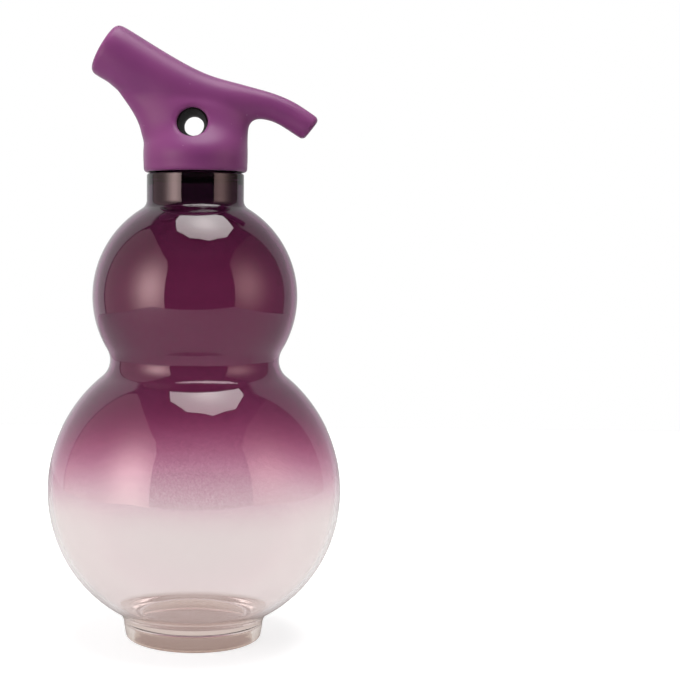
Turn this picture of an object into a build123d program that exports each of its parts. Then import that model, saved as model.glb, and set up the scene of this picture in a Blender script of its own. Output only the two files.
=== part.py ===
"""Gourd water bottle, in millimetres, +Z up, standing on the plane Z = 0 with its axis on Z.

A blown glass bottle of two bulbs stands on a low glass foot and has a narrower threaded finish.
The lid screws onto it. Its threaded cup carries a moulded core in the shape of a cut vine stem, with
one thick and one thin branch and a cross hole for a cord. A soft skin covers core and cup, and a
flat ring gasket seals the cup on the rim of the glass.
"""
import os
from math import atan2, cos, degrees, pi, radians, sin, sqrt, tan

from build123d import *

# Glass, outside
LOWER_BULB_RADIUS = 69.0
LOWER_BULB_CLEARANCE = 4.9  # underside of the lower bulb above the table
UPPER_BULB_RADIUS = 48.0
BULB_SPACING = 91.2  # between the centres of the two bulbs
WAIST_ROUND = 10.0  # concave round between the bulbs
HEEL_EASE = 5.8  # how much tighter the lower bulb is rounded above the foot
HEEL_START_ANGLE = 19.5  # degrees below the equator where the tighter round begins
FOOT_RADIUS = 32.9
FOOT_TAPER = 1.0  # how much the foot narrows to the table
FOOT_ROUND = 9.0  # concave round between bulb and foot
FOOT_EDGE = 1.6
NECK_RADIUS = 22.7
NECK_ROUND = 4.4  # concave round between bulb and neck
NECK_LENGTH = 12.3  # straight part of the neck
NECK_EDGE = 0.8

# Glass, inside and underside
GLASS_WALL = 2.4
BEARING_WIDTH = 4.6  # ring of the foot, hollow inside up to the bulb
BEARING_EDGE = 1.2

# Finish of the neck, which takes the thread
FINISH_RADIUS = 17.9
FINISH_WALL = 2.4
FINISH_HEIGHT = 10.0
RIM_EDGE = 0.6
THREAD_DEPTH = 1.2

# Lid
LID_RADIUS = 24.3
LID_GAP = 0.6  # between the neck's shoulder and the skin
LID_EDGE = 1.7
SKIN = 2.2
SKIN_FIT = 0.1  # glue film between the skin and what it covers
CUP_RECESS = 0.5  # the cup ends this far above the skin's edge
THREAD_PLAY = 0.5  # from the crest of the neck's thread to the cup's wall
GASKET_THICKNESS = 1.6
GASKET_PLAY = 0.3
PLUG_PLAY = 0.6
PLUG_WALL = 1.8
PLUG_REACH = 3.6  # below the cup's ceiling
CUP_FLOOR = 3.2  # thickness of the cup's closed end
SPIGOT_RADIUS = 13.0  # centres the core on the cup
SPIGOT_HEIGHT = 1.4
SPIGOT_PLAY = 0.1

# Cross hole for the cord
CORD_HOLE_RADIUS = 4.75
CORD_HOLE_HEIGHT = 22.1  # above the lid's bottom
CORD_HOLE_SIDE = 1.0  # from the lid's axis towards the thick branch
CORD_LAND_START = 3.0  # the straight bore runs from here to the back, from the lid's axis
CORD_TAPER = 6.3  # degrees that the bore opens towards the front
CORD_LIP_RADIUS = 6.5  # hole in the skin
CORD_LIP_ROUND = 2.0

# Stem form of the lid, with heights above the lid's bottom and slopes in degrees below level
FORK_HEIGHT = 36.0  # where the two branches meet above the lid's axis
THICK_RADIUS = 12.5
THICK_REACH = 43.2
THICK_HEIGHT = 58.1
THICK_SLOPE = 30.4
THICK_EDGE = 3.2
THIN_RADIUS = 6.2
THIN_REACH = 53.8
THIN_HEIGHT = 19.9
THIN_SLOPE = 39.2
THIN_EDGE = 2.2
STEM_ROUND = 5.0  # concave round where the trunk runs into the branches
# Sections of the branches, each a share of its own tip's: reach, height above the fork or drop
# below it, slope, and radius
THICK_SHARES = [
    (1.0, 1.0, 1.0, 1.0),
    (0.768, 0.732, 1.02, 1.024),
    (0.51, 0.433, 1.053, 1.008),
    (0.206, 0.117, 0.875, 0.976),
]
THIN_SHARES = [
    (0.105, 0.145, 0.454, 1.774),
    (0.325, 0.235, 0.31, 1.5),
    (0.489, 0.259, 0.27, 1.194),
    (0.631, 0.331, 0.41, 1.032),
    (0.749, 0.476, 0.587, 1.0),
    (0.88, 0.73, 0.84, 1.0),
    (1.0, 1.0, 0.97, 0.98),
]
# Sections of the trunk above the collar: lean as a share of the thick branch's reach, height as a
# share of the way from collar to fork, slope as a share of the thick branch's, and half width and
# half depth as shares of the lid's radius
TRUNK_SHARES = [
    (0.0, 0.0, 0.0, 1.0, 0.96),
    (0.0, 0.34, 0.0, 1.008, 0.68),
    (0.026, 0.596, 0.03, 1.07, 0.568),
    (0.095, 0.84, 0.07, 1.123, 0.51),
    (0.24, 1.08, 0.35, 1.2, 0.29),
]
SECTION_POINTS = 12

# Places worked out from the sizes above
HEEL_RADIUS = LOWER_BULB_RADIUS - HEEL_EASE
HEEL_HEIGHT = LOWER_BULB_CLEARANCE + HEEL_RADIUS
LOWER_BULB_HEIGHT = HEEL_HEIGHT + HEEL_EASE * sin(radians(HEEL_START_ANGLE))
UPPER_BULB_HEIGHT = LOWER_BULB_HEIGHT + BULB_SPACING
NECK_START = UPPER_BULB_HEIGHT + sqrt(
    (UPPER_BULB_RADIUS + NECK_ROUND) ** 2 - (NECK_RADIUS + NECK_ROUND) ** 2
)
NECK_TOP = NECK_START + NECK_LENGTH
RIM_HEIGHT = NECK_TOP + FINISH_HEIGHT
MOUTH_RADIUS = FINISH_RADIUS - FINISH_WALL
LID_BOTTOM = NECK_TOP + LID_GAP
CEILING = RIM_HEIGHT + GASKET_THICKNESS
CUP_TOP = CEILING + CUP_FLOOR
CUP_BORE_RADIUS = FINISH_RADIUS + THREAD_DEPTH + THREAD_PLAY
PLUG_RADIUS = MOUTH_RADIUS - PLUG_PLAY
CORD_HOLE = LID_BOTTOM + CORD_HOLE_HEIGHT
COVERED = SKIN + SKIN_FIT  # how far the core's form lies inside the skin's


def on_circle(centre, radius, angle):
    """The point of a circle at an angle in degrees."""
    return (centre[0] + radius * cos(radians(angle)), centre[1] + radius * sin(radians(angle)))


def towards(centre, other, distance):
    """The point at a distance from one centre on the line towards another."""
    angle = degrees(atan2(other[1] - centre[1], other[0] - centre[0]))
    return on_circle(centre, distance, angle)


def arc_about(centre, start, end):
    """A circular arc about a centre between two points of its circle, the shorter way."""
    first = degrees(atan2(start[1] - centre[1], start[0] - centre[0]))
    last = degrees(atan2(end[1] - centre[1], end[0] - centre[0]))
    turn = (last - first + 180) % 360 - 180
    radius = sqrt((start[0] - centre[0]) ** 2 + (start[1] - centre[1]) ** 2)
    return ThreePointArc(start, on_circle(centre, radius, first + turn / 2), end)


def oval(plane, half_width, half_depth):
    """A closed sketch on a plane, nearly an ellipse, with its width along the plane's X."""
    angles = [2 * pi * i / SECTION_POINTS for i in range(SECTION_POINTS)]
    with BuildSketch(plane) as section:
        with BuildLine():
            Spline([(half_width * cos(a), half_depth * sin(a)) for a in angles], periodic=True)
        make_face()
    return section.sketch


def across(x, height, slope):
    """The plane across a branch at a height above the lid's bottom, facing down its slope."""
    down = (cos(radians(slope)), 0, -sin(radians(slope)))
    return Plane(origin=(x, 0, LID_BOTTOM + height), x_dir=(-down[2], 0, down[0]), z_dir=down)


def branch_sections(inset):
    """Sections of both branches from the thick tip through the fork to the thin tip."""
    sections = []
    for reach, rise, slope, radius in THICK_SHARES:
        plane = across(
            -reach * THICK_REACH, FORK_HEIGHT + rise * (THICK_HEIGHT - FORK_HEIGHT), slope * THICK_SLOPE
        )
        sections.append((plane, radius * THICK_RADIUS - inset))
    for reach, drop, slope, radius in THIN_SHARES:
        plane = across(
            reach * THIN_REACH, FORK_HEIGHT - drop * (FORK_HEIGHT - THIN_HEIGHT), slope * THIN_SLOPE
        )
        sections.append((plane, radius * THIN_RADIUS - inset))
    first, last = sections[0], sections[-1]
    sections[0] = (first[0].offset(inset), first[1])
    sections[-1] = (last[0].offset(-inset), last[1])
    return [oval(plane, radius, radius) for plane, radius in sections]


def trunk_sections(inset):
    """Level sections from the lid's bottom through the collar and up into the fork."""
    collar = CEILING - LID_BOTTOM
    radius = LID_RADIUS - inset
    sections = [
        oval(Plane.XY.offset(LID_BOTTOM - inset), radius, radius),
        oval(Plane.XY.offset(LID_BOTTOM + collar / 2), radius, radius),
    ]
    for lean, height, slope, width, depth in TRUNK_SHARES:
        tilt = radians(slope * THICK_SLOPE)
        plane = Plane(
            origin=(-lean * THICK_REACH, 0, LID_BOTTOM + collar + height * (FORK_HEIGHT - collar)),
            x_dir=(cos(tilt), 0, -sin(tilt)),
            z_dir=(sin(tilt), 0, cos(tilt)),
        )
        sections.append(oval(plane, width * LID_RADIUS - inset, depth * LID_RADIUS - inset))
    return sections


def stem_form(inset):
    """The closed form of the lid, drawn in by an inset but as much longer at its flat bottom."""
    with BuildPart() as trunk:
        for section in trunk_sections(inset):
            add(section)
        loft()
    with BuildPart() as form:
        for section in branch_sections(inset):
            add(section)
        loft()
        add(trunk.part)
        tips = form.faces().filter_by(GeomType.PLANE).sort_by(Axis.X)
        fillet(tips[0].edges(), THICK_EDGE - inset / 2)
        fillet(tips[-1].edges(), THIN_EDGE - inset / 2)
    return form.part


lower = (0, LOWER_BULB_HEIGHT)
upper = (0, UPPER_BULB_HEIGHT)
heel = on_circle(lower, HEEL_EASE, -HEEL_START_ANGLE)
foot_x = FOOT_RADIUS + FOOT_ROUND
foot = (foot_x, heel[1] - sqrt((HEEL_RADIUS + FOOT_ROUND) ** 2 - (foot_x - heel[0]) ** 2))
low_reach = LOWER_BULB_RADIUS + WAIST_ROUND
high_reach = UPPER_BULB_RADIUS + WAIST_ROUND
waist_rise = (low_reach**2 - high_reach**2 + BULB_SPACING**2) / (2 * BULB_SPACING)
waist = (sqrt(low_reach**2 - waist_rise**2), LOWER_BULB_HEIGHT + waist_rise)
neck = (NECK_RADIUS + NECK_ROUND, NECK_START)
inner_neck_radius = NECK_RADIUS - GLASS_WALL

with BuildPart() as glass_bottle:
    with BuildSketch(Plane.XZ):
        with BuildLine():
            # Outside, from the foot to the neck
            foot_low = (FOOT_RADIUS - FOOT_TAPER, 0)
            foot_top = (FOOT_RADIUS, foot[1])
            heel_low = towards(heel, foot, HEEL_RADIUS)
            heel_top = on_circle(heel, HEEL_RADIUS, -HEEL_START_ANGLE)
            waist_low = towards(lower, waist, LOWER_BULB_RADIUS)
            waist_top = towards(upper, waist, UPPER_BULB_RADIUS)
            neck_low = towards(upper, neck, UPPER_BULB_RADIUS)
            neck_start = (NECK_RADIUS, neck[1])
            Line(foot_low, foot_top)
            arc_about(foot, foot_top, heel_low)
            arc_about(heel, heel_low, heel_top)
            arc_about(lower, heel_top, waist_low)
            arc_about(waist, waist_low, waist_top)
            arc_about(upper, waist_top, neck_low)
            arc_about(neck, neck_low, neck_start)
            # Shoulder, finish and mouth
            inner_neck_start = (inner_neck_radius, neck[1])
            Polyline(
                neck_start,
                (NECK_RADIUS, NECK_TOP),
                (FINISH_RADIUS, NECK_TOP),
                (FINISH_RADIUS, RIM_HEIGHT),
                (MOUTH_RADIUS, RIM_HEIGHT),
                (MOUTH_RADIUS, NECK_TOP),
                (inner_neck_radius, NECK_TOP - (inner_neck_radius - MOUTH_RADIUS)),
                inner_neck_start,
            )
            # Inside, parallel to the outside down to the floor
            inner_neck_low = towards(upper, neck, UPPER_BULB_RADIUS - GLASS_WALL)
            inner_waist_top = towards(upper, waist, UPPER_BULB_RADIUS - GLASS_WALL)
            inner_waist_low = towards(lower, waist, LOWER_BULB_RADIUS - GLASS_WALL)
            inner_heel_top = on_circle(heel, HEEL_RADIUS - GLASS_WALL, -HEEL_START_ANGLE)
            floor_edge = (heel[0], heel[1] - HEEL_RADIUS + GLASS_WALL)
            arc_about(neck, inner_neck_start, inner_neck_low)
            arc_about(upper, inner_neck_low, inner_waist_top)
            arc_about(waist, inner_waist_top, inner_waist_low)
            arc_about(lower, inner_waist_low, inner_heel_top)
            arc_about(heel, inner_heel_top, floor_edge)
            # Floor, axis, the bulb's underside and the ring of the foot
            ring_radius = FOOT_RADIUS - FOOT_TAPER - BEARING_WIDTH
            ring_top = (ring_radius, heel[1] - sqrt(HEEL_RADIUS**2 - (ring_radius - heel[0]) ** 2))
            under_edge = (heel[0], LOWER_BULB_CLEARANCE)
            Polyline(floor_edge, (0, floor_edge[1]), (0, LOWER_BULB_CLEARANCE), under_edge)
            arc_about(heel, under_edge, ring_top)
            Polyline(ring_top, (ring_radius, 0), foot_low)
        make_face()
    revolve(axis=Axis.Z)
    circles = glass_bottle.edges().filter_by(GeomType.CIRCLE)
    table_edges = circles.filter_by_position(Axis.Z, 0, 0)
    fillet(table_edges.sort_by(SortBy.RADIUS)[-1], FOOT_EDGE)
    fillet(glass_bottle.edges().filter_by_position(Axis.Z, 0, 0).sort_by(SortBy.RADIUS)[0], BEARING_EDGE)
    fillet(glass_bottle.edges().filter_by_position(Axis.Z, RIM_HEIGHT, RIM_HEIGHT), RIM_EDGE)
    shoulder = glass_bottle.edges().filter_by_position(Axis.Z, NECK_TOP, NECK_TOP)
    fillet(shoulder.sort_by(SortBy.RADIUS)[-1], NECK_EDGE)
glass_bottle.part.label = "glass_bottle"

with BuildPart() as gasket:
    with BuildSketch(Plane.XY.offset(RIM_HEIGHT)):
        Circle(FINISH_RADIUS)
        Circle(PLUG_RADIUS + GASKET_PLAY, mode=Mode.SUBTRACT)
    extrude(amount=GASKET_THICKNESS)
gasket.part.label = "gasket"

covered_form = stem_form(COVERED)

with BuildPart() as thread_cup:
    add(covered_form)
    split(bisect_by=Plane.XY.offset(CUP_TOP), keep=Keep.BOTTOM)
    split(bisect_by=Plane.XY.offset(LID_BOTTOM + CUP_RECESS), keep=Keep.TOP)
    with BuildSketch(Plane.XY.offset(LID_BOTTOM)):
        Circle(CUP_BORE_RADIUS)
    extrude(amount=CEILING - LID_BOTTOM, mode=Mode.SUBTRACT)
    with BuildSketch(Plane.XY.offset(CEILING - PLUG_REACH)):
        Circle(PLUG_RADIUS)
        Circle(PLUG_RADIUS - PLUG_WALL, mode=Mode.SUBTRACT)
    extrude(amount=PLUG_REACH)
    with BuildSketch(Plane.XY.offset(CUP_TOP - SPIGOT_HEIGHT)):
        Circle(SPIGOT_RADIUS + SPIGOT_PLAY)
    extrude(amount=SPIGOT_HEIGHT, mode=Mode.SUBTRACT)
thread_cup.part.label = "thread_cup"

with BuildPart() as stem_core:
    add(covered_form)
    split(bisect_by=Plane.XY.offset(CUP_TOP), keep=Keep.TOP)
    with BuildSketch(Plane.XY.offset(CUP_TOP - SPIGOT_HEIGHT + SPIGOT_PLAY)):
        Circle(SPIGOT_RADIUS)
    extrude(amount=SPIGOT_HEIGHT - SPIGOT_PLAY)
    with BuildSketch(Plane.YZ.offset(-CORD_HOLE_SIDE)):
        with BuildLine():
            wide = CORD_HOLE_RADIUS + (LID_RADIUS + CORD_LAND_START) * tan(radians(CORD_TAPER))
            Polyline(
                (-LID_RADIUS, CORD_HOLE),
                (-LID_RADIUS, CORD_HOLE + wide),
                (CORD_LAND_START, CORD_HOLE + CORD_HOLE_RADIUS),
                (LID_RADIUS, CORD_HOLE + CORD_HOLE_RADIUS),
                (LID_RADIUS, CORD_HOLE),
                close=True,
            )
        make_face()
    revolve(axis=Axis((-CORD_HOLE_SIDE, 0, CORD_HOLE), (0, 1, 0)), mode=Mode.SUBTRACT)
stem_core.part.label = "stem_core"

with BuildPart() as stem_skin:
    add(stem_form(0))
    rims = stem_skin.faces().filter_by(GeomType.PLANE).edges()
    joint = [edge for edge in stem_skin.edges() if edge.is_closed and edge not in rims]
    fillet(max(joint, key=lambda edge: edge.length), STEM_ROUND)
    with BuildSketch(Plane.XZ):
        with Locations((-CORD_HOLE_SIDE, CORD_HOLE)):
            Circle(CORD_LIP_RADIUS)
    extrude(amount=LID_RADIUS, both=True, mode=Mode.SUBTRACT)
    mouth = stem_skin.faces().filter_by(GeomType.CYLINDER)[0]
    fillet([edge for edge in mouth.edges() if edge.is_closed], CORD_LIP_ROUND)
    bottom = stem_skin.faces().filter_by(GeomType.PLANE).sort_by(Axis.Z)[0]
    fillet(bottom.edges(), LID_EDGE)
    add(stem_form(SKIN), mode=Mode.SUBTRACT)
stem_skin.part.label = "stem_skin"

os.makedirs("parts", exist_ok=True)
for piece in (glass_bottle, gasket, thread_cup, stem_core, stem_skin):
    export_step(piece.part, f"parts/{piece.part.label}.step")
    print(piece.part.label, piece.part.is_valid, len(piece.part.solids()), round(piece.part.volume))
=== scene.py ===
"""Looks of a two-bulb glass bottle whose soft-skinned lid is shaped like a cut vine stem."""

import logging
import math
from collections.abc import Iterator
from contextlib import contextmanager
from dataclasses import dataclass, field
from enum import Enum

import bpy
from mathutils import Matrix, Vector

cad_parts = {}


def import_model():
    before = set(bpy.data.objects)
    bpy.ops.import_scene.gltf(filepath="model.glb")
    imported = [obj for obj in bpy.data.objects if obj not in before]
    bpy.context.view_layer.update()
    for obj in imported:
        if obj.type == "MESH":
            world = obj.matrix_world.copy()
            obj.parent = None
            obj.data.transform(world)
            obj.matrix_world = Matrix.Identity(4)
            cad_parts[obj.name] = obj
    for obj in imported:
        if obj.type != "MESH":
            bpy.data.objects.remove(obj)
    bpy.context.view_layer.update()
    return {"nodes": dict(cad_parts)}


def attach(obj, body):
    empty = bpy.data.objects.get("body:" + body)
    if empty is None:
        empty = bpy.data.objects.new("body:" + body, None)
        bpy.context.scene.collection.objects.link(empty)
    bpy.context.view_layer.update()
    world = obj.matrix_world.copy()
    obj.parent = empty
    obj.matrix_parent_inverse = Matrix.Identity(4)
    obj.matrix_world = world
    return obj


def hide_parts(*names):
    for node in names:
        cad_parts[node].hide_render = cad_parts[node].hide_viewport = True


MM = 0.001
LOG = logging.getLogger("bottle")

Point = tuple[float, float]
Rates = tuple[float, float, float]
Colour = tuple[float, float, float, float]

NOISE_LOW, NOISE_HIGH = 0.3, 0.7  # values of soft noise between which grain and clouds run
SPECK_CORE, SPECK_EDGE = 0.05, 0.2  # distances from a speck's middle at which it is full and gone


class Body(str, Enum):
    """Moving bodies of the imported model."""

    BOTTLE = "bottle"
    SEAL = "seal"
    LID = "lid"


class Slot(str, Enum):
    """Material slots of the record."""

    GLASS = "glass"
    SILICONE = "silicone"
    MOULDED = "moulded_black"
    SEAL = "seal"


def srgb(red: int, green: int, blue: int) -> Colour:
    """Turn a screen colour into a linear one.

    Args:
        red: Red from 0 to 255.
        green: Green from 0 to 255.
        blue: Blue from 0 to 255.

    Returns:
        The linear colour with full alpha.
    """
    def linear(level: int) -> float:
        """One channel of the colour, made linear."""
        share = level / 255
        return share / 12.92 if share <= 0.04045 else ((share + 0.055) / 1.055) ** 2.4

    return (linear(red), linear(green), linear(blue), 1.0)


def deselect_all() -> None:
    """Leave no object selected."""
    for obj in list(bpy.context.selected_objects):
        obj.select_set(False)


def activate(piece: bpy.types.Object) -> None:
    """Make one piece the only selected and the active one."""
    deselect_all()
    piece.select_set(True)
    bpy.context.view_layer.objects.active = piece


@contextmanager
def editing(piece: bpy.types.Object) -> Iterator[None]:
    """Hold one piece in edit mode, with nothing of its mesh selected at first.

    Args:
        piece: The piece to edit.

    Yields:
        Nothing, while the piece is in edit mode.
    """
    activate(piece)
    bpy.ops.object.mode_set(mode="EDIT")
    bpy.ops.mesh.select_all(action="DESELECT")
    yield
    bpy.ops.object.mode_set(mode="OBJECT")


def apply_modifier(piece: bpy.types.Object, name: str, kind: str, **settings: object) -> None:
    """Add a modifier to a piece, set it up and apply it.

    Args:
        piece: The piece to change.
        name: Name of the modifier.
        kind: Type of the modifier.
        **settings: Values of the modifier's own settings.
    """
    activate(piece)
    modifier = piece.modifiers.new(name, kind)
    for setting, value in settings.items():
        setattr(modifier, setting, value)
    bpy.ops.object.modifier_apply(modifier=modifier.name)


def settle(piece: bpy.types.Object) -> None:
    """Put a piece's origin at the world's origin, with its place in its mesh."""
    activate(piece)
    bpy.ops.object.transform_apply(location=True, rotation=True, scale=True)


def smoothstep(low: float, high: float, value: float) -> float:
    """Rise smoothly from 0 at the low value to 1 at the high one."""
    share = min(max((value - low) / (high - low), 0.0), 1.0)
    return share * share * (3 - 2 * share)


def hand_over(piece: bpy.types.Object, body: Body, finish: bpy.types.Material) -> None:
    """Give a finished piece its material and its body.

    Args:
        piece: The finished piece.
        body: The body that it moves with.
        finish: The material to show.
    """
    piece.data.materials.clear()
    piece.data.materials.append(finish)
    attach(piece, body.value)
    LOG.info("%s: %d faces, rides on %s", piece.name, len(piece.data.polygons), body.value)


class NodeDesk:
    """Adds nodes to a shader tree, with their inputs set or linked in one call."""

    def __init__(self, tree: bpy.types.NodeTree) -> None:
        """Keep the tree that the nodes go into."""
        self.tree = tree

    def add(self, kind: str, inputs: dict | None = None, **settings: object) -> bpy.types.Node:
        """Add a node.

        Args:
            kind: Type name of the node.
            inputs: Sockets or plain values for its inputs, by name or number.
            **settings: Values of the node's own settings.

        Returns:
            The new node.
        """
        node = self.tree.nodes.new(kind)
        for setting, value in settings.items():
            setattr(node, setting, value)
        for key, value in (inputs or {}).items():
            if isinstance(value, bpy.types.NodeSocket):
                self.tree.links.new(value, node.inputs[key])
            else:
                node.inputs[key].default_value = value
        return node

    def math(self, operation: str, first: object, second: object = 0.0) -> bpy.types.NodeSocket:
        """The result of a calculation on two sockets or numbers."""
        return self.add("ShaderNodeMath", {0: first, 1: second}, operation=operation).outputs[0]

    def ramp(
        self, value: object, low: float, high: float, start: float = 0.0, end: float = 1.0
    ) -> bpy.types.NodeSocket:
        """Map a value smoothly from one range to another.

        Args:
            value: Socket to read.
            low: Value at which the result is start.
            high: Value at which the result is end.
            start: Result at and below low.
            end: Result at and above high.

        Returns:
            The mapped value.
        """
        inputs = {"Value": value, "From Min": low, "From Max": high, "To Min": start, "To Max": end}
        node = self.add("ShaderNodeMapRange", inputs, interpolation_type="SMOOTHSTEP")
        return node.outputs["Result"]

    def noise(self, place: object, scale: object, detail: float = 2.0) -> bpy.types.NodeSocket:
        """Soft noise from 0 to 1 at a place, with a number of features per metre."""
        inputs = {"Vector": place, "Scale": scale, "Detail": detail}
        return self.add("ShaderNodeTexNoise", inputs).outputs["Fac"]

    def mix(self, share: object, first: object, second: object) -> bpy.types.NodeSocket:
        """A colour between two others."""
        node = self.add("ShaderNodeMix", data_type="RGBA")
        for socket, value in ((node.inputs[0], share), (node.inputs[6], first), (node.inputs[7], second)):
            if isinstance(value, bpy.types.NodeSocket):
                self.tree.links.new(value, socket)
            else:
                socket.default_value = value
        return node.outputs[2]


def new_material(name: str) -> tuple[bpy.types.Material, NodeDesk, bpy.types.Node]:
    """Start a material with one Principled shader.

    Args:
        name: Name of the material.

    Returns:
        The material, the desk of its tree and its Principled shader.
    """
    material = bpy.data.materials.new(name)
    material.use_nodes = True
    material.node_tree.nodes.clear()
    desk = NodeDesk(material.node_tree)
    shader = desk.add("ShaderNodeBsdfPrincipled")
    desk.add("ShaderNodeOutputMaterial", {"Surface": shader.outputs["BSDF"]})
    return material, desk, shader


def new_group(
    name: str, inputs: dict[str, float], outputs: list[str]
) -> tuple[bpy.types.NodeTree, NodeDesk, bpy.types.Node, bpy.types.Node]:
    """Start a shader node group with number sockets.

    Args:
        name: Name of the group.
        inputs: Names of its inputs with their usual values.
        outputs: Names of its outputs.

    Returns:
        The group's tree, the desk for it, its input node and its output node.
    """
    tree = bpy.data.node_groups.new(name, "ShaderNodeTree")
    for title, value in inputs.items():
        socket = tree.interface.new_socket(title, in_out="INPUT", socket_type="NodeSocketFloat")
        socket.default_value = value
    for title in outputs:
        tree.interface.new_socket(title, in_out="OUTPUT", socket_type="NodeSocketFloat")
    desk = NodeDesk(tree)
    return tree, desk, desk.add("NodeGroupInput"), desk.add("NodeGroupOutput")


def moulded_grain() -> bpy.types.NodeTree:
    """Build the fine grain and slow cloudiness that moulded surfaces share.

    Returns:
        A group with the grain's height and a cloud mask, both from 0 to 1.
    """
    tree, desk, given, result = new_group(
        "moulded_grain", {"Grain Scale": 1500.0, "Cloud Scale": 60.0}, ["Height", "Cloud"]
    )
    place = desk.add("ShaderNodeTexCoord").outputs["Object"]
    grain = desk.noise(place, given.outputs["Grain Scale"], 3.0)
    cloud = desk.noise(place, given.outputs["Cloud Scale"])
    tree.links.new(grain, result.inputs["Height"])
    tree.links.new(desk.ramp(cloud, NOISE_LOW, NOISE_HIGH), result.inputs["Cloud"])
    return tree


def clinging_dust() -> bpy.types.NodeTree:
    """Build the sparse pale specks of dust that cling to soft and black surfaces.

    Returns:
        A group with a mask from 0 to 1 that is 1 on a speck.
    """
    tree, desk, given, result = new_group(
        "clinging_dust", {"Speck Scale": 420.0, "Amount": 0.3}, ["Mask"]
    )
    place = desk.add("ShaderNodeTexCoord").outputs["Object"]
    cells = desk.add(
        "ShaderNodeTexVoronoi", {"Vector": place, "Scale": given.outputs["Speck Scale"]}
    )
    near = desk.ramp(cells.outputs["Distance"], SPECK_CORE, SPECK_EDGE, 1.0, 0.0)
    picks = desk.add("ShaderNodeSeparateColor", {"Color": cells.outputs["Color"]}).outputs["Red"]
    chosen = desk.math("LESS_THAN", picks, given.outputs["Amount"])
    tree.links.new(desk.math("MULTIPLY", near, chosen), result.inputs["Mask"])
    return tree


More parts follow.
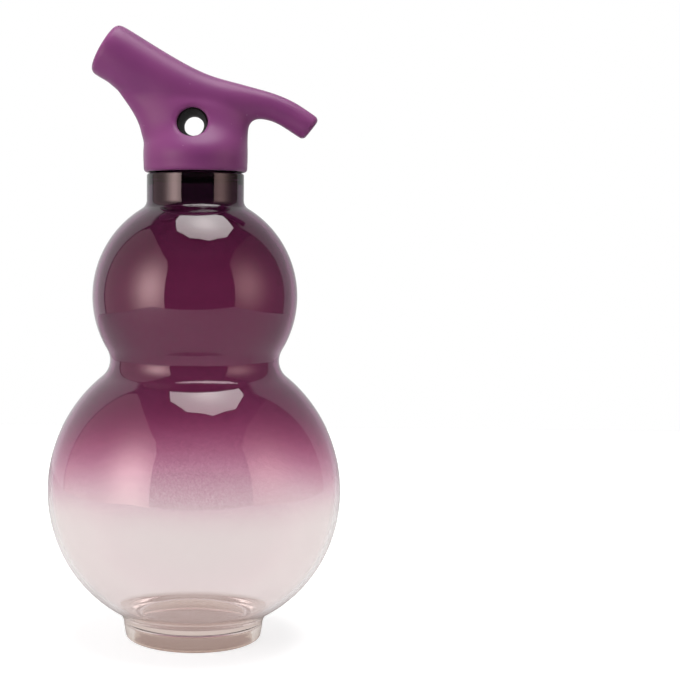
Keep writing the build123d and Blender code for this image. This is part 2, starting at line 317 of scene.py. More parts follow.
@dataclass(frozen=True)
class SprayedGlass:
    """Clear glass with a see-through lacquer sprayed from the top, fading to nothing below.

    What is absorbed is given for one wall, in red, green and blue: by the lacquer at a density of 1, by
    how much more where it lies thick, by the bare glass, by the neck's collar, and by the thick foot
    together with painted shade, as the foot is darkened further to stand in for the shadowed table that it
    shows.
    """

    absorbed: Rates = (0.36, 1.0, 0.67)
    crowded: Rates = (0.075, 0.0, 0.0)
    clear_absorbed: Rates = (0.11, 0.178, 0.185)
    collar_absorbed: Rates = (1.1, 0.7, 0.85)
    # Partly the thick foot's own tint, partly painted shade of the shadowed table beneath it.
    foot_absorbed_and_painted_shade: Rates = (0.2, 0.26, 0.34)
    coat_density: float = 1.95
    fade_low: float = 58 * MM
    fade_high: float = 120.5 * MM
    fade_steepness: float = 1.1
    drift_scale: float = 18.0
    drift_height: float = 6 * MM
    shoulder_density: float = 0.34
    shoulder_low: float = 162 * MM
    shoulder_high: float = 195 * MM
    collar_low: float = 198 * MM
    collar_high: float = 207 * MM
    foot_high: float = 13 * MM
    foot_low: float = 3 * MM
    slant_gain: float = 1.1
    droplet_scale: float = 1800.0
    droplet_low: float = 0.32
    droplet_high: float = 0.68
    droplet_strength: float = 0.35
    trapped_light: Colour = (0.36, 0.31, 0.285, 1.0)
    trapped_depth: float = 6.5
    trapped_depth_share: float = 0.5
    trapped_mirrorings: float = 3.5
    trapped_low: float = 40 * MM
    trapped_high: float = 80 * MM
    wave_scale: float = 22.0
    wave_depth: float = 0.4 * MM
    wave_strength: float = 0.05
    sprayed_roughness: float = 0.2
    gloss_tint: Colour = (1.0, 0.98, 0.95, 1.0)
    ior: float = 1.51

    def lay_coat(
        self, desk: NodeDesk, place: bpy.types.NodeSocket, height: bpy.types.NodeSocket
    ) -> tuple[bpy.types.NodeSocket, bpy.types.NodeSocket]:
        """Work out how thick the lacquer lies.

        Args:
            desk: The desk of the material's tree.
            place: The place on the glass.
            height: The height of that place.

        Returns:
            How far the fade is reached, from 0 below to 1 above, and the lacquer's density along the
            line of sight.
        """
        drift = desk.math("SUBTRACT", desk.noise(place, self.drift_scale), 0.5)
        drifted = desk.math("ADD", height, desk.math("MULTIPLY", drift, self.drift_height))
        fade = desk.math("POWER", desk.ramp(drifted, self.fade_low, self.fade_high), self.fade_steepness)
        specks = desk.noise(place, self.droplet_scale, 1.0)
        droplets = desk.ramp(specks, self.droplet_low, self.droplet_high, -1.0, 1.0)
        thin = desk.math("MULTIPLY", desk.math("SUBTRACT", 1.0, fade), self.droplet_strength)
        grainy = desk.math("ADD", desk.math("MULTIPLY", droplets, thin), 1.0)
        shoulder = desk.ramp(drifted, self.shoulder_low, self.shoulder_high, 0.0, self.shoulder_density)
        even = desk.math("ADD", desk.math("MULTIPLY", fade, self.coat_density), shoulder)
        facing = desk.add("ShaderNodeLayerWeight", {"Blend": 0.5}).outputs["Facing"]
        slant = desk.math("MULTIPLY", desk.math("MULTIPLY", facing, facing), self.slant_gain)
        return fade, desk.math("MULTIPLY", even, desk.math("ADD", grainy, slant))

    def filter_light(
        self, desk: NodeDesk, coat: bpy.types.NodeSocket, height: bpy.types.NodeSocket
    ) -> bpy.types.NodeSocket:
        """Work out the colour that one wall lets through.

        Args:
            desk: The desk of the material's tree.
            coat: The lacquer's density.
            height: The height on the glass.

        Returns:
            The colour.
        """
        collar = desk.ramp(height, self.collar_low, self.collar_high)
        foot = desk.ramp(height, self.foot_low, self.foot_high, 1.0, 0.0)
        channels = {}
        # Near the table the foot's rate darkens the glass, partly for its thickness and partly as painted
        # shade.
        for title, lacquer, crowd, dark, thick, clear in zip(
            ("Red", "Green", "Blue"),
            self.absorbed, self.crowded, self.collar_absorbed, self.foot_absorbed_and_painted_shade, self.clear_absorbed,
        ):
            rate = desk.math("ADD", desk.math("MULTIPLY", coat, crowd), lacquer)
            sprayed = desk.math("MULTIPLY", coat, rate)
            ends = desk.math("ADD", desk.math("MULTIPLY", collar, dark), desk.math("MULTIPLY", foot, thick))
            kept_back = desk.math("ADD", sprayed, ends)
            channels[title] = desk.math("EXPONENT", desk.math("SUBTRACT", -clear, kept_back))
        return desk.add("ShaderNodeCombineColor", channels).outputs["Color"]

    def trap_light(self, desk: NodeDesk, height: bpy.types.NodeSocket) -> bpy.types.NodeSocket:
        """Work out the glow in place of light that is mirrored inside the glass too often to follow.

        Args:
            desk: The desk of the material's tree.
            height: The height on the glass.

        Returns:
            The glow's colour, black on all other paths.
        """
        path = desk.add("ShaderNodeLightPath").outputs
        beyond = desk.math("GREATER_THAN", path["Ray Depth"], self.trapped_depth)
        deep = desk.math("MULTIPLY", beyond, self.trapped_depth_share)
        mirrored = desk.math("GREATER_THAN", path["Glossy Depth"], self.trapped_mirrorings)
        below = desk.ramp(height, self.trapped_low, self.trapped_high, 1.0, 0.0)
        trapped = desk.math("MAXIMUM", deep, desk.math("MULTIPLY", mirrored, below))
        return desk.mix(trapped, (0.0, 0.0, 0.0, 1.0), self.trapped_light)

    def build(self) -> bpy.types.Material:
        """Make the material, whose colour is what one wall lets through."""
        material, desk, shader = new_material("sprayed_glass")
        place = desk.add("ShaderNodeTexCoord").outputs["Object"]
        height = desk.add("ShaderNodeSeparateXYZ", {"Vector": place}).outputs["Z"]
        fade, coat = self.lay_coat(desk, place, height)
        half_covered = desk.math("MULTIPLY", fade, desk.math("SUBTRACT", 1.0, fade))
        wave = desk.noise(place, self.wave_scale, 1.0)
        shape = {"Strength": self.wave_strength, "Distance": self.wave_depth, "Height": wave}
        for title, source in (
            ("Base Color", self.filter_light(desk, coat, height)),
            ("Roughness", desk.math("MULTIPLY", half_covered, self.sprayed_roughness)),
            ("Normal", desk.add("ShaderNodeBump", shape).outputs[0]),
            ("Emission Color", self.trap_light(desk, height)),
        ):
            desk.tree.links.new(source, shader.inputs[title])
        shader.inputs["Emission Strength"].default_value = 1.0
        shader.inputs["Transmission Weight"].default_value = 1.0
        shader.inputs["IOR"].default_value = self.ior
        shader.inputs["Specular Tint"].default_value = self.gloss_tint
        return material


@dataclass(frozen=True)
class MouldedFinish:
    """A moulded surface: its colours, its grain and the dust that clings to it."""

    name: str
    colour: Colour
    cloud_colour: Colour
    dust_colour: Colour
    rough_low: float
    rough_high: float
    grain_scale: float
    grain_depth: float
    cloud_scale: float
    dust_amount: float
    dust_cover: float = 0.35
    grain_strength: float = 0.6
    sheen: float = 0.0
    sheen_roughness: float = 0.5
    specular: float = 0.5
    subsurface: float = 0.0
    subsurface_reach: float = 2 * MM
    transmission: float = 0.0

    def build(self, grain: bpy.types.NodeTree, dust: bpy.types.NodeTree) -> bpy.types.Material:
        """Make the material.

        Args:
            grain: The group of the grain and the clouds.
            dust: The group of the dust specks.

        Returns:
            The new material.
        """
        material, desk, shader = new_material(self.name)
        grained = desk.add("ShaderNodeGroup", node_tree=grain)
        grained.inputs["Grain Scale"].default_value = self.grain_scale
        grained.inputs["Cloud Scale"].default_value = self.cloud_scale
        height = grained.outputs["Height"]
        specks = desk.add("ShaderNodeGroup", node_tree=dust)
        specks.inputs["Amount"].default_value = self.dust_amount
        tone = desk.mix(grained.outputs["Cloud"], self.colour, self.cloud_colour)
        cover = desk.math("MULTIPLY", specks.outputs["Mask"], self.dust_cover)
        dusted = desk.mix(cover, tone, self.dust_colour)
        rough = desk.ramp(height, NOISE_LOW, NOISE_HIGH, self.rough_low, self.rough_high)
        shape = {"Strength": self.grain_strength, "Distance": self.grain_depth, "Height": height}
        bump = desk.add("ShaderNodeBump", shape)
        for title, source in (("Base Color", dusted), ("Roughness", rough), ("Normal", bump.outputs[0])):
            desk.tree.links.new(source, shader.inputs[title])
        shader.inputs["Sheen Weight"].default_value = self.sheen
        shader.inputs["Sheen Roughness"].default_value = self.sheen_roughness
        shader.inputs["Specular IOR Level"].default_value = self.specular
        shader.inputs["Subsurface Weight"].default_value = self.subsurface
        shader.inputs["Subsurface Scale"].default_value = self.subsurface_reach
        shader.inputs["Transmission Weight"].default_value = self.transmission
        return material


SOFT_SKIN = MouldedFinish(
    name="plum_silicone",
    colour=srgb(128, 62, 114),
    cloud_colour=srgb(122, 57, 110),
    dust_colour=srgb(176, 140, 168),
    rough_low=0.36,
    rough_high=0.46,
    grain_scale=1600.0,
    grain_depth=0.03 * MM,
    cloud_scale=45.0,
    dust_amount=0.05,
    sheen=0.3,
    sheen_roughness=0.3,
    specular=0.22,
)
BLACK_MOULDING = MouldedFinish(
    name="black_moulding",
    colour=srgb(22, 17, 19),
    cloud_colour=srgb(28, 22, 24),
    dust_colour=srgb(80, 72, 72),
    rough_low=0.55,
    rough_high=0.68,
    grain_scale=2200.0,
    grain_depth=0.05 * MM,
    cloud_scale=80.0,
    dust_amount=0.06,
    specular=0.15,
)
PALE_SEAL = MouldedFinish(
    name="pale_seal",
    colour=srgb(226, 222, 214),
    cloud_colour=srgb(216, 211, 203),
    dust_colour=srgb(190, 184, 176),
    rough_low=0.38,
    rough_high=0.5,
    grain_scale=1400.0,
    grain_depth=0.02 * MM,
    cloud_scale=120.0,
    dust_amount=0.04,
    subsurface=0.2,
    transmission=0.15,
)


@dataclass
class Profile:
    """A line of points in the half plane of radius and height, for spinning about the axis."""

    spacing: float
    turn_step: float = math.radians(10)
    points: list[Point] = field(default_factory=list)

    def start(self, radius: float, height: float) -> None:
        """Put down the first point."""
        self.points = [(radius, height)]

    def line(self, radius: float, height: float) -> None:
        """Run straight to a point, with points along the way."""
        first = Vector(self.points[-1])
        run = Vector((radius, height)) - first
        steps = max(1, math.ceil(run.length / self.spacing))
        self.points += [tuple(first + run * (i / steps)) for i in range(1, steps + 1)]

    def arc(self, centre: Point, end: Point) -> None:
        """Go round a centre to the direction of an end point, the shorter way.

        Args:
            centre: Centre of the arc.
            end: A point in whose direction from the centre the arc ends.
        """
        here = Vector(self.points[-1]) - Vector(centre)
        there = Vector(end) - Vector(centre)
        first = math.atan2(here.y, here.x)
        turn = (math.atan2(there.y, there.x) - first + math.pi) % (2 * math.pi) - math.pi
        radius = here.length
        steps = max(2, math.ceil(radius * abs(turn) / self.spacing), math.ceil(abs(turn) / self.turn_step))
        for i in range(1, steps + 1):
            angle = first + turn * i / steps
            self.points.append((centre[0] + radius * math.cos(angle), centre[1] + radius * math.sin(angle)))

    def corner(self, at: Point, following: Point, rounding: float) -> None:
        """Run to a corner and round it off towards the point that follows.

        Args:
            at: The sharp corner.
            following: A point on the line after the corner.
            rounding: Radius of the rounded corner.
        """
        corner = Vector(at)
        back = (Vector(self.points[-1]) - corner).normalized()
        ahead = (Vector(following) - corner).normalized()
        half = back.angle(ahead) / 2
        self.line(*(corner + back * (rounding / math.tan(half))))
        centre = corner + (back + ahead).normalized() * (rounding / math.sin(half))
        self.arc(tuple(centre), tuple(corner + ahead * (rounding / math.tan(half))))


@dataclass
class GlassBottle:
    """The blown glass bottle with its foot, two bulbs, neck and threaded finish."""

    lower_radius: float = 69.0 * MM
    lower_clearance: float = 4.9 * MM
    upper_radius: float = 48.0 * MM
    bulb_spacing: float = 91.2 * MM
    waist_round: float = 10.0 * MM
    heel_ease: float = 5.8 * MM
    heel_angle: float = math.radians(19.5)
    foot_radius: float = 32.9 * MM
    foot_taper: float = 1.0 * MM
    foot_round: float = 9.0 * MM
    foot_edge: float = 1.6 * MM
    bearing_width: float = 4.6 * MM
    bearing_edge: float = 1.2 * MM
    ring_round: float = 2.0 * MM
    neck_radius: float = 22.7 * MM
    neck_round: float = 4.4 * MM
    neck_length: float = 12.3 * MM
    neck_edge: float = 0.8 * MM
    wall: float = 2.4 * MM
    finish_radius: float = 17.9 * MM
    finish_wall: float = 2.4 * MM
    finish_height: float = 10.0 * MM
    rim_edge: float = 0.6 * MM
    inner_round: float = 2.0 * MM
    thread_depth: float = 1.2 * MM
    thread_lead: float = 4.0 * MM
    thread_width: float = 1.9 * MM
    thread_flank: float = 0.6 * MM
    thread_turns: float = 1.5
    thread_runout: float = 0.08
    thread_rise: float = 2.0 * MM
    spacing: float = 1.5 * MM
    fine_spacing: float = 0.35 * MM
    fine_turn: float = math.radians(6)
    segments: int = 160

    def __post_init__(self) -> None:
        """Work out the centres and heights from the sizes."""
        self.heel_radius = self.lower_radius - self.heel_ease
        rise = self.heel_ease * math.sin(self.heel_angle)
        self.lower = (0.0, self.lower_clearance + self.heel_radius + rise)
        self.heel = (self.heel_ease * math.cos(self.heel_angle), self.lower[1] - rise)
        self.upper = (0.0, self.lower[1] + self.bulb_spacing)
        low_reach = self.lower_radius + self.waist_round
        high_reach = self.upper_radius + self.waist_round
        up = (low_reach**2 - high_reach**2 + self.bulb_spacing**2) / (2 * self.bulb_spacing)
        self.waist = (math.sqrt(low_reach**2 - up**2), self.lower[1] + up)
        reach = self.neck_radius + self.neck_round
        self.neck = (
            reach, self.upper[1] + math.sqrt((self.upper_radius + self.neck_round) ** 2 - reach**2)
        )
        foot_reach = self.foot_radius + self.foot_round
        drop = math.sqrt((self.heel_radius + self.foot_round) ** 2 - (foot_reach - self.heel[0]) ** 2)
        self.foot = (foot_reach, self.heel[1] - drop)
        self.neck_top = self.neck[1] + self.neck_length
        self.rim = self.neck_top + self.finish_height

    def heel_side(self, centre: Point) -> Point:
        """A point in the direction from a centre in which the heel's tighter round meets the bulb."""
        return (centre[0] + math.cos(self.heel_angle), centre[1] - math.sin(self.heel_angle))

    def draw_inside(self, line: Profile) -> None:
        """Draw the inside wall from the middle of the floor up to the mouth."""
        floor = self.lower_clearance + self.wall
        mouth = self.finish_radius - self.finish_wall
        inner_neck = self.neck_radius - self.wall
        shoulder = (inner_neck, self.neck_top - (inner_neck - mouth))
        line.start(0.0, floor)
        line.line(self.heel[0], floor)
        line.arc(self.heel, self.heel_side(self.heel))
        line.arc(self.lower, self.waist)
        line.arc(self.waist, self.upper)
        line.arc(self.upper, self.neck)
        line.arc(self.neck, (0.0, self.neck[1]))
        line.corner(shoulder, (mouth, self.neck_top), self.inner_round)
        line.corner((mouth, self.neck_top), (mouth, self.rim), self.inner_round)

    def draw_finish(self, line: Profile) -> None:
        """Draw the mouth, the threaded finish and the shoulder below it."""
        mouth = self.finish_radius - self.finish_wall
        line.corner((mouth, self.rim), (self.finish_radius, self.rim), self.rim_edge)
        line.corner((self.finish_radius, self.rim), (self.finish_radius, self.neck_top), self.rim_edge)
        wide, line.spacing = line.spacing, self.fine_spacing
        line.corner((self.finish_radius, self.neck_top), (self.neck_radius, self.neck_top), self.neck_edge)
        line.corner((self.neck_radius, self.neck_top), (self.neck_radius, self.neck[1]), self.neck_edge)
        line.spacing = wide

    def draw_outside(self, line: Profile) -> None:
        """Draw the outside wall down to the table and the hollow foot back to the axis."""
        line.line(self.neck_radius, self.neck[1])
        line.arc(self.neck, self.upper)
        line.arc(self.upper, self.waist)
        line.arc(self.waist, self.lower)
        line.arc(self.lower, self.heel_side(self.lower))
        line.arc(self.heel, self.foot)
        wide, line.spacing = line.spacing, self.fine_spacing
        line.turn_step = self.fine_turn
        line.arc(self.foot, (0.0, self.foot[1]))
        foot_low = (self.foot_radius - self.foot_taper, 0.0)
        ring = foot_low[0] - self.bearing_width
        line.corner(foot_low, (ring, 0.0), self.foot_edge)
        ring_top = (ring, self.under(ring))
        line.corner((ring, 0.0), ring_top, self.bearing_edge)
        inward = ring - 2 * self.ring_round
        line.corner(ring_top, (inward, self.under(inward)), self.ring_round)
        line.spacing = wide
        line.line(inward, self.under(inward))
        line.arc(self.heel, (self.heel[0], 0.0))
        line.line(0.0, self.lower_clearance)

    def under(self, radius: float) -> float:
        """Height of the bulb's underside at a radius."""
        return self.heel[1] - math.sqrt(self.heel_radius**2 - (radius - self.heel[0]) ** 2)

    def thread_height(self, angle: float, height: float) -> float:
        """How far the thread stands out of the finish.

        Args:
            angle: Angle about the axis, from 0 to a whole turn.
            height: Height above the table.

        Returns:
            The height of the ridge there, 0 beside it.
        """
        first = self.neck_top + self.thread_rise
        tallest = 0.0
        for whole in range(math.ceil(self.thread_turns)):
            turn = angle / (2 * math.pi) + whole
            if turn > self.thread_turns:
                continue
            off = abs(height - first - turn * self.thread_lead)
            half = self.thread_width / 2
            ridge = 1 - smoothstep(half - self.thread_flank, half, off)
            ends = smoothstep(0, self.thread_runout, min(turn, self.thread_turns - turn))
            tallest = max(tallest, ridge * ends)
        return tallest * self.thread_depth

    def raise_thread(self, piece: bpy.types.Object) -> None:
        """Move the finish's outer points outwards where the thread runs."""
        for vertex in piece.data.vertices:
            radius = math.hypot(vertex.co.x, vertex.co.y)
            beside = abs(radius - self.finish_radius) > self.rim_edge / 2
            if beside or not self.neck_top < vertex.co.z < self.rim:
                continue
            angle = math.atan2(vertex.co.y, vertex.co.x) % (2 * math.pi)
            share = 1 + self.thread_height(angle, vertex.co.z) / radius
            vertex.co = (vertex.co.x * share, vertex.co.y * share, vertex.co.z)

    def build(self) -> bpy.types.Object:
        """Spin the glass from its profile.

        Returns:
            The bottle, one closed shell.
        """
        line = Profile(self.spacing)
        self.draw_inside(line)
        self.draw_finish(line)
        self.draw_outside(line)
        piece = spun("bottle_glass", line.points, self.segments)
        self.raise_thread(piece)
        return piece

    def dress(self, piece: bpy.types.Object, finish: SprayedGlass) -> None:
        """Give the glass its lacquered finish in the place of the plain solid."""
        hand_over(piece, Body.BOTTLE, finish.build())
        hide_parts("glass_bottle")


def spun(name: str, points: list[Point], segments: int) -> bpy.types.Object:
    """Draw a profile by extruding one point after another and spin it about the axis.

    Args:
        name: Name of the piece.
        points: Radius and height of each point, on the axis at both ends.
        segments: Number of steps of the whole turn.

    Returns:
        The spun piece, closed and with its faces outwards.
    """
    deselect_all()
    first_radius, first_height = points[0]
    bpy.ops.mesh.primitive_plane_add(size=MM, location=(first_radius, 0.0, first_height))
    piece = bpy.context.active_object
    piece.name = piece.data.name = name
    settle(piece)
    with editing(piece):
        bpy.ops.mesh.select_all(action="SELECT")
        bpy.ops.mesh.merge(type="CENTER")
        for here, there in zip(points, points[1:]):
            step = (there[0] - here[0], 0.0, there[1] - here[1])
            bpy.ops.mesh.extrude_region_move(TRANSFORM_OT_translate={"value": step})
        bpy.ops.mesh.select_all(action="SELECT")
        bpy.ops.mesh.spin(steps=segments, angle=2 * math.pi, center=(0, 0, 0), axis=(0, 0, 1))
        bpy.ops.mesh.select_all(action="SELECT")
        bpy.ops.mesh.remove_doubles(threshold=0.001 * MM)
        bpy.ops.mesh.normals_make_consistent(inside=False)
    bpy.ops.object.shade_smooth()
    return piece


@dataclass
class Lid:
    """The lid: the soft skin over the moulded core, the cup's thread and the ring seal.

    The swell's line gives radius and height, like the bottle's profile, and its move gives all three
    directions.
    """

    voxel: float = 0.56 * MM
    smooth_rounds: int = 6
    fork_above: float = 240 * MM
    fork_reach: float = 38 * MM
    fork_fade: float = 8 * MM
    fork_rounds: int = 40
    swell_start: Point = (-32.5 * MM, 260.5 * MM)
    swell_end: Point = (-24.8 * MM, 241 * MM)
    swell_near: float = 2.5 * MM
    swell_far: float = 9.5 * MM
    swell_move: tuple[float, float, float] = (-1.0 * MM, 0.0, -0.7 * MM)
    cup_bore: float = 19.6 * MM
    ridge_depth: float = 1.15 * MM
    ridge_width: float = 1.9 * MM
    ridge_crest_share: float = 0.5
    ridge_turns: float = 1.5
    ridge_runout: float = 0.08
    ridge_least_share: float = 0.05
    ridge_bevel: float = 0.15 * MM
    ridge_steps: int = 96

    def build_skin(self, solid: bpy.types.Object) -> bpy.types.Object:
        """Make the soft skin with an even mesh and edges that run softly into each other.

        Args:
            solid: The frame's node of the skin.

        Returns:
            The skin.
        """
        skin = bpy.data.objects.new("lid_skin", solid.data.copy())
        skin.data.name = skin.name
        bpy.context.collection.objects.link(skin)
        with editing(skin):
            bpy.ops.mesh.select_all(action="SELECT")
            bpy.ops.mesh.remove_doubles(threshold=0.001 * MM)
        apply_modifier(skin, "even", "REMESH", mode="VOXEL", voxel_size=self.voxel, use_smooth_shade=True)
        apply_modifier(skin, "soften", "SMOOTH", factor=0.5, iterations=self.smooth_rounds)
        self.swell_below_branch(skin)
        self.ease_fork(skin)
        activate(skin)
        bpy.ops.object.shade_smooth()
        return skin

    def swell_below_branch(self, skin: bpy.types.Object) -> None:
        """Let the trunk run into the thick branch's underside in a fuller curve."""
        start, end = Vector(self.swell_start), Vector(self.swell_end)
        run = end - start
        move = Vector(self.swell_move)
        for vertex in skin.data.vertices:
            place = Vector((vertex.co.x, vertex.co.z))
            along = min(max((place - start).dot(run) / run.length_squared, 0.0), 1.0)
            away = (place - start - run * along).length
            share = 1 - smoothstep(self.swell_near, self.swell_far, away)
            if share > 0:
                vertex.co += move * share

    def ease_fork(self, skin: bpy.types.Object) -> None:
        """Smooth the skin where the branches meet, and leave the branches' ends as they are."""
        group = skin.vertex_groups.new(name="fork")
        for vertex in skin.data.vertices:
            risen = smoothstep(self.fork_above - self.fork_fade, self.fork_above, vertex.co.z)
            inward = 1 - smoothstep(self.fork_reach, self.fork_reach + self.fork_fade, abs(vertex.co.x))
            if risen * inward > 0:
                group.add([vertex.index], risen * inward, "REPLACE")
        apply_modifier(
            skin, "ease", "SMOOTH", factor=0.5, iterations=self.fork_rounds, vertex_group=group.name
        )

    def build_thread(self, first_height: float, lead: float) -> bpy.types.Object:
        """Make the cup's thread, which runs between the turns of the bottle's.

        Args:
            first_height: Height at which the ridge begins.
            lead: Rise of the thread in one turn.

        Returns:
            The ridge with tapered ends.
        """
        deselect_all()
        centre = self.cup_bore - self.ridge_depth / 2
        bpy.ops.mesh.primitive_plane_add(
            size=1.0, location=(centre, 0.0, first_height), rotation=(math.pi / 2, 0.0, 0.0)
        )
        ridge = bpy.context.active_object
        ridge.name = ridge.data.name = "cup_thread"
        ridge.scale = (self.ridge_depth, self.ridge_width, 1.0)
        settle(ridge)
        for vertex in ridge.data.vertices:
            if vertex.co.x < centre:
                vertex.co.z = first_height + (vertex.co.z - first_height) * self.ridge_crest_share
        with editing(ridge):
            bpy.ops.mesh.select_all(action="SELECT")
            bpy.ops.mesh.delete(type="ONLY_FACE")
        turn, rise = 2 * math.pi * self.ridge_turns, lead * self.ridge_turns
        apply_modifier(
            ridge, "climb", "SCREW", axis="Z", angle=turn, screw_offset=rise, steps=self.ridge_steps,
            render_steps=self.ridge_steps, use_smooth_shade=False,
        )
        with editing(ridge):
            bpy.ops.mesh.select_all(action="SELECT")
            bpy.ops.mesh.fill_holes(sides=0)
            bpy.ops.mesh.select_all(action="SELECT")
            bpy.ops.mesh.normals_make_consistent(inside=False)
        self.taper_ends(ridge, first_height, lead)
        apply_modifier(ridge, "round_edges", "BEVEL", width=self.ridge_bevel, segments=2)
        return ridge

    def taper_ends(self, ridge: bpy.types.Object, first_height: float, lead: float) -> None:
        """Let the ridge's crest run out into the cup's wall at both ends."""
        for vertex in ridge.data.vertices:
            radius = math.hypot(vertex.co.x, vertex.co.y)
            turn = (vertex.co.z - first_height) / lead
            inside = min(turn, self.ridge_turns - turn)
            deep = self.cup_bore - radius
            if deep > self.ridge_depth / 2:
                risen = smoothstep(-self.ridge_runout, 2 * self.ridge_runout, inside)
                share = max(risen, self.ridge_least_share)
                scale = (self.cup_bore - deep * share) / radius
                vertex.co = (vertex.co.x * scale, vertex.co.y * scale, vertex.co.z)

    def dress(
        self, skin: bpy.types.Object, ridge: bpy.types.Object, nodes: dict[str, bpy.types.Object]
    ) -> None:
        """Finish the skin, the thread and the frame's nodes inside the lid.

        Args:
            skin: The soft skin.
            ridge: The cup's thread.
            nodes: The frame's nodes by name.
        """
        grain, dust = moulded_grain(), clinging_dust()
        black = BLACK_MOULDING.build(grain, dust)
        hand_over(skin, Body.LID, SOFT_SKIN.build(grain, dust))
        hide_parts("stem_skin")
        hand_over(ridge, Body.LID, black)
        finishes = {"stem_core": black, "thread_cup": black, "gasket": PALE_SEAL.build(grain, dust)}
        for name, finish in finishes.items():
            nodes[name].data.materials.clear()
            nodes[name].data.materials.append(finish)
            LOG.info("%s: dressed with %s", name, finish.name)


def towards(azimuth: float, elevation: float) -> Vector:
    """The direction at an azimuth from the front and an elevation, both in degrees."""
    side, up = math.radians(azimuth), math.radians(elevation)
    return Vector((math.sin(side) * math.cos(up), -math.cos(side) * math.cos(up), math.sin(up)))


@dataclass(frozen=True)
class SoftPanel:
    """A large soft lamp round the bottle, brightest at one spot and dimmer away from it."""

    name: str
    outline: tuple[Point, ...]
    distance: float
    hot_spot: Point
    spread_sideways: float
    spread_upwards: float
    brightness: float
    edge_brightness: float
    gloss_colour: Colour = (1.0, 1.0, 1.0, 1.0)
    light_colour: Colour = (1.0, 1.0, 1.0, 1.0)

    def build(self, target: Vector) -> None:
        """Hang the panel with its corners in their directions from the target.

        Args:
            target: The point that it faces.
        """
        deselect_all()
        bpy.ops.mesh.primitive_circle_add(vertices=len(self.outline), fill_type="NGON")
        panel = bpy.context.active_object
        panel.name = panel.data.name = self.name
        for vertex, (azimuth, elevation) in zip(panel.data.vertices, self.outline):
            vertex.co = target + towards(azimuth, elevation) * self.distance
        with editing(panel):
            bpy.ops.mesh.select_all(action="SELECT")
            bpy.ops.mesh.quads_convert_to_tris()
        panel.data.materials.append(self.glow(target))
        panel.visible_camera = False
        panel.visible_transmission = False

    def glow(self, target: Vector) -> bpy.types.Material:
        """Make the light of the panel's face."""
        material = bpy.data.materials.new(self.name)
        material.use_nodes = True
        material.node_tree.nodes.clear()
        desk = NodeDesk(material.node_tree)
        place = desk.add("ShaderNodeTexCoord").outputs["Object"]
        away = desk.add("ShaderNodeVectorMath", {0: place, 1: target}, operation="SUBTRACT").outputs[0]
        ray = desk.add("ShaderNodeVectorMath", {0: away}, operation="NORMALIZE").outputs[0]
        hot = towards(*self.hot_spot)
        off = desk.add("ShaderNodeVectorMath", {0: ray, 1: hot}, operation="SUBTRACT").outputs[0]
        reach = (self.spread_sideways, self.spread_sideways, self.spread_upwards)
        share = desk.add("ShaderNodeVectorMath", {0: off, 1: reach}, operation="DIVIDE").outputs[0]
        square = desk.add("ShaderNodeVectorMath", {0: share, 1: share}, operation="DOT_PRODUCT")
        fall = desk.math("EXPONENT", desk.math("MULTIPLY", square.outputs["Value"], -1.0))
        peak = desk.math("MULTIPLY", fall, self.brightness - self.edge_brightness)
        strength = desk.math("ADD", peak, self.edge_brightness)
        mirrored = desk.add("ShaderNodeLightPath").outputs["Is Glossy Ray"]
        colour = desk.mix(mirrored, self.light_colour, self.gloss_colour)
        light = desk.add("ShaderNodeEmission", {"Color": colour, "Strength": strength})
        desk.add("ShaderNodeOutputMaterial", {"Surface": light.outputs[0]})
        return material


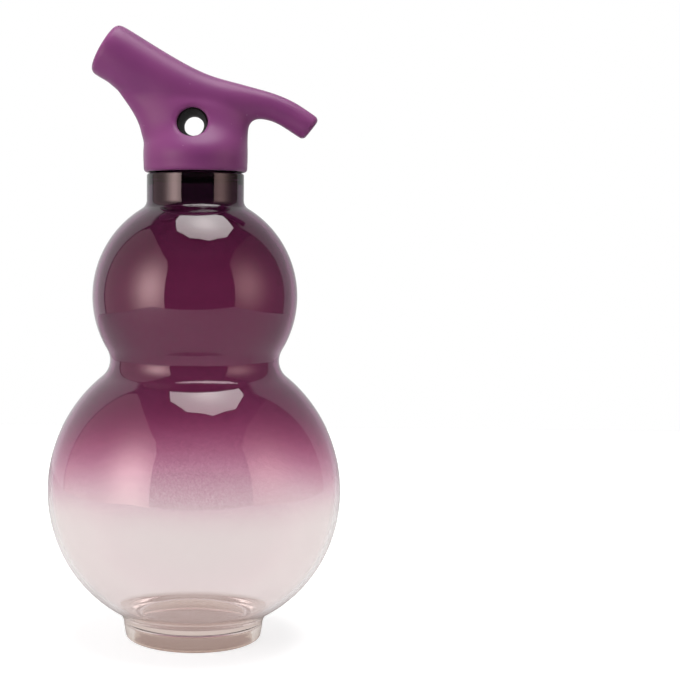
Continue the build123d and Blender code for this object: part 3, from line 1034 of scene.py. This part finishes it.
@dataclass(frozen=True)
class Studio:
    """The pale table, the soft lamps, the white surroundings and the camera."""

    focal_length: float = 72.16
    camera_distance: float = 0.640
    camera_height: float = 0.1838
    camera_side: float = math.radians(2.4)
    camera_pitch: float = math.radians(3.85)
    camera_roll: float = math.radians(0.28)
    sideways_shift: float = 0.2138
    table_half: float = 0.75
    table_glow: float = 0.75
    table_through_glass: float = 1.0
    shaded_table: Colour = (0.5, 0.4, 0.38, 1.0)
    shade_low: float = 29 * MM
    shade_high: float = 47 * MM
    seen_front: float = 0.1
    seen_from: float = -0.5
    seen_to: float = 0.3
    ambient_front: float = 0.03
    ambient_behind: float = 0.45
    ambient_reach: float = 0.6
    gloss_front: float = 0.02
    gloss_left: float = 0.82
    gloss_right: float = 0.52
    gloss_reach: float = 0.5
    wall_begins: float = math.radians(117)
    wall_full: float = math.radians(120)
    wall_top_low: float = 0.78
    wall_top_high: float = 0.83
    target_height: float = 0.161

    panels: tuple[SoftPanel, ...] = (
        SoftPanel(
            name="left_softbox",
            outline=(
                (-30.5, -13.0), (-30.5, 30.0), (-34.0, 38.0), (-45.0, 45.0), (-60.0, 51.5), (-78.0, 55.5),
                (-96.0, 56.0), (-108.0, 54.0), (-114.0, 47.0), (-115.0, 20.0), (-114.0, -13.0),
            ),
            distance=1.3,
            hot_spot=(-47.0, 9.0),
            spread_sideways=0.32,
            spread_upwards=0.42,
            brightness=7.0,
            edge_brightness=0.75,
            gloss_colour=(1.0, 0.74, 0.74, 1.0),
            light_colour=(0.84, 0.84, 0.84, 1.0),
        ),
        SoftPanel(
            name="right_softbox",
            outline=(
                (46.5, -13.0), (46.5, 34.0), (54.0, 41.0), (66.0, 47.0), (84.0, 49.0), (104.0, 48.0),
                (116.0, 44.0), (119.0, 20.0), (119.0, -13.0),
            ),
            distance=1.4,
            hot_spot=(61.0, 11.0),
            spread_sideways=0.36,
            spread_upwards=0.36,
            brightness=3.0,
            edge_brightness=0.18,
            gloss_colour=(1.0, 0.67, 0.65, 1.0),
            light_colour=(0.68, 0.68, 0.68, 1.0),
        ),
        SoftPanel(
            name="top_softbox",
            outline=(
                (-152.6, 70.1), (-112.6, 74.0), (-57.5, 72.2), (-11.6, 67.9), (31.6, 63.1), (71.2, 60.6),
                (106.1, 59.9), (148.3, 62.6),
            ),
            distance=1.8,
            hot_spot=(80.0, 82.5),
            spread_sideways=0.21,
            spread_upwards=0.21,
            brightness=9.6,
            edge_brightness=5.4,
            light_colour=(1.16, 1.16, 1.16, 1.0),
        ),
    )

    def build_camera(self) -> None:
        """Place the camera where the picture is taken from."""
        data = bpy.data.cameras.new("camera")
        data.lens = self.focal_length
        data.shift_x = self.sideways_shift
        camera = bpy.data.objects.new("camera", data)
        bpy.context.collection.objects.link(camera)
        place = Vector(
            (
                self.camera_distance * math.sin(self.camera_side),
                -self.camera_distance * math.cos(self.camera_side),
                self.camera_height,
            )
        )
        turn = (
            Matrix.Rotation(self.camera_side, 4, "Z")
            @ Matrix.Rotation(math.pi / 2 - self.camera_pitch, 4, "X")
            @ Matrix.Rotation(self.camera_roll, 4, "Z")
        )
        camera.matrix_world = Matrix.Translation(place) @ turn
        bpy.context.scene.camera = camera

    def build_table(self) -> None:
        """Lay the pale table, which glows a little where it is seen so that it reads as white."""
        deselect_all()
        bpy.ops.mesh.primitive_plane_add(size=2 * self.table_half)
        table = bpy.context.active_object
        table.name = table.data.name = "table"
        material, desk, shader = new_material("pale_table")
        shader.inputs["Base Color"].default_value = srgb(188, 187, 186)
        shader.inputs["Roughness"].default_value = 0.7
        path = desk.add("ShaderNodeLightPath").outputs
        strength = desk.math("MULTIPLY", path["Is Camera Ray"], self.table_glow)
        glow = desk.add("ShaderNodeEmission", {"Strength": strength})
        lit = desk.add("ShaderNodeAddShader", {0: shader.outputs["BSDF"], 1: glow.outputs[0]})
        place = desk.add("ShaderNodeTexCoord").outputs["Object"]
        radius = desk.add("ShaderNodeVectorMath", {0: place}, operation="LENGTH").outputs["Value"]
        # Painted shadow: rays through the glass, and every ray under the foot, see a flat glow in the shaded
        # table's colour near the bottle, rising to plain white further out.
        open_air = desk.ramp(radius, self.shade_low, self.shade_high)
        pale = (self.table_through_glass,) * 3 + (1.0,)
        plain = desk.add("ShaderNodeEmission", {"Color": desk.mix(open_air, self.shaded_table, pale)})
        under = desk.math("LESS_THAN", radius, self.shade_low)
        through = desk.math("MAXIMUM", path["Is Transmission Ray"], under)
        either = {0: through, 1: lit.outputs[0], 2: plain.outputs[0]}
        shown = desk.add("ShaderNodeMixShader", either)
        output = next(node for node in desk.tree.nodes if node.type == "OUTPUT_MATERIAL")
        desk.tree.links.new(shown.outputs[0], output.inputs["Surface"])
        table.data.materials.append(material)

    def build_surroundings(self) -> None:
        """Make the world white where it is seen, soft grey as light and darker in front as gloss.

        The directions are the parts of a vector of length 1, with Y away from the camera.
        """
        world = bpy.data.worlds.new("surroundings")
        world.use_nodes = True
        bpy.context.scene.world = world
        world.node_tree.nodes.clear()
        desk = NodeDesk(world.node_tree)
        path = desk.add("ShaderNodeLightPath").outputs
        direction = desk.add("ShaderNodeTexCoord").outputs["Generated"]
        parts = desk.add("ShaderNodeSeparateXYZ", {"Vector": direction}).outputs
        reach = self.ambient_reach
        ambient = desk.ramp(parts["Y"], -reach, reach, self.ambient_front, self.ambient_behind)
        aside = desk.math("ABSOLUTE", parts["X"])
        azimuth = desk.math("ARCTAN2", aside, desk.math("MULTIPLY", parts["Y"], -1.0))
        behind = desk.ramp(azimuth, self.wall_begins, self.wall_full)
        under_top = desk.ramp(parts["Z"], self.wall_top_low, self.wall_top_high, 1.0, 0.0)
        wall = desk.math("MULTIPLY", behind, under_top)
        level = desk.ramp(parts["X"], -self.gloss_reach, self.gloss_reach, self.gloss_left, self.gloss_right)
        gloss = desk.math("ADD", desk.math("MULTIPLY", wall, level), self.gloss_front)
        glossy = desk.math("MULTIPLY", path["Is Glossy Ray"], desk.math("SUBTRACT", gloss, ambient))
        base = desk.math("ADD", ambient, glossy)
        pale = desk.ramp(parts["Y"], self.seen_from, self.seen_to, self.seen_front)
        through = desk.math("MULTIPLY", path["Is Transmission Ray"], pale)
        seen = desk.math("MAXIMUM", path["Is Camera Ray"], path["Is Transmission Ray"])
        bright = desk.math("MAXIMUM", path["Is Camera Ray"], through)
        hidden = desk.math("MULTIPLY", base, desk.math("SUBTRACT", 1.0, seen))
        strength = desk.math("ADD", bright, hidden)
        sky = desk.add("ShaderNodeBackground", {"Color": (1.0, 1.0, 1.0, 1.0), "Strength": strength})
        desk.add("ShaderNodeOutputWorld", {"Surface": sky.outputs[0]})

    def build(self) -> None:
        """Set up everything round the bottle."""
        self.build_table()
        self.build_surroundings()
        target = Vector((0.0, 0.0, self.target_height))
        for panel in self.panels:
            panel.build(target)
        self.build_camera()
        bpy.context.scene.view_settings.view_transform = "Standard"


def main() -> None:
    """Build the bottle and the lid round the frame, then the studio."""
    logging.basicConfig(level=logging.INFO, format="%(name)s: %(message)s")
    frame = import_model()
    bottle = GlassBottle()
    bottle.dress(bottle.build(), SprayedGlass())
    lid = Lid()
    skin = lid.build_skin(frame["nodes"]["stem_skin"])
    first = bottle.neck_top + bottle.thread_rise + bottle.thread_lead / 2
    ridge = lid.build_thread(first, bottle.thread_lead)
    lid.dress(skin, ridge, frame["nodes"])
    Studio().build()


if __name__ == "__main__":
    main()
